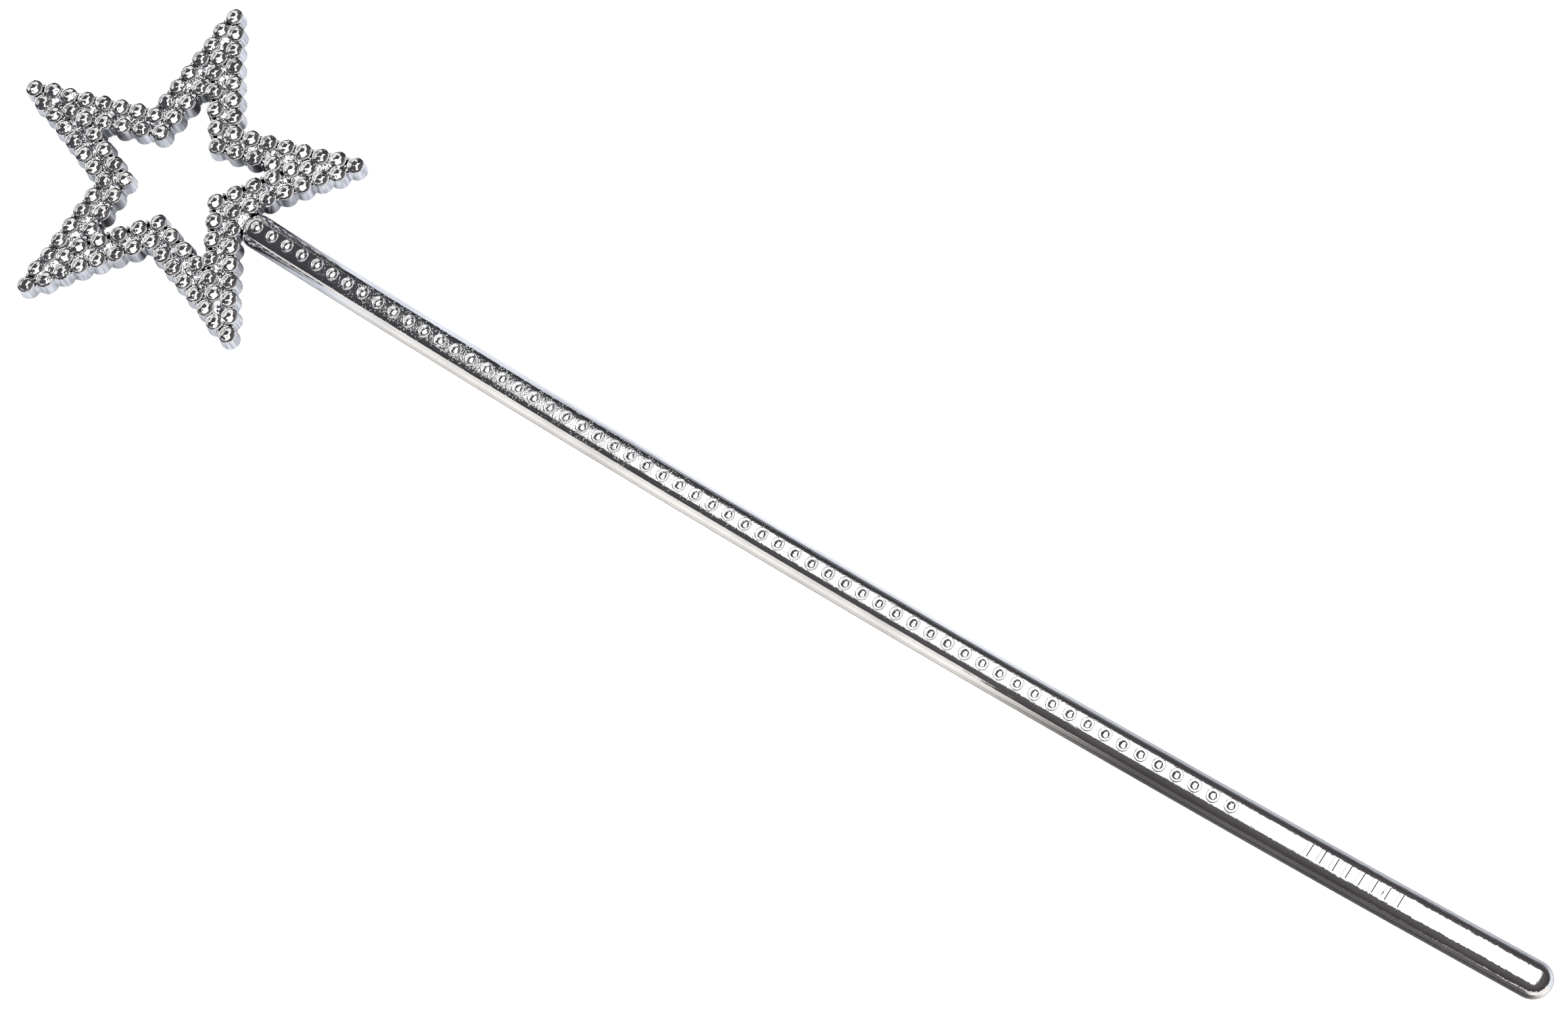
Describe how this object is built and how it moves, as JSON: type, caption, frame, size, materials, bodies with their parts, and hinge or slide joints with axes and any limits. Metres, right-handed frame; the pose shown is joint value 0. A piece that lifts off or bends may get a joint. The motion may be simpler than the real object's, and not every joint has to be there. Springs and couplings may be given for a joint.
{
  "type": "toy fairy wand",
  "caption": "Toy fairy wand: an open five-pointed star edged with small domed studs, on a long round rod with a row of studs along its front.",
  "frame": {"origin": "under the middle of the whole wand, level with the lowest line of the rod", "axes": "+X from the star towards the handle, +Z out of the studded front, +Y to the left when looking along +X"},
  "size_m": [0.35, 0.0742, 0.0078],
  "materials": {
    "plated_front": "vacuum-metallised mirror silver over moulded plastic",
    "plated_back": "vacuum-metallised silver over moulded plastic, a little duller than the front"
  },
  "bodies": {
    "root": {"star_front": "plated_front", "star_back": "plated_back", "rod_front": "plated_front", "rod_back": "plated_back"}
  },
  "joints": []
}
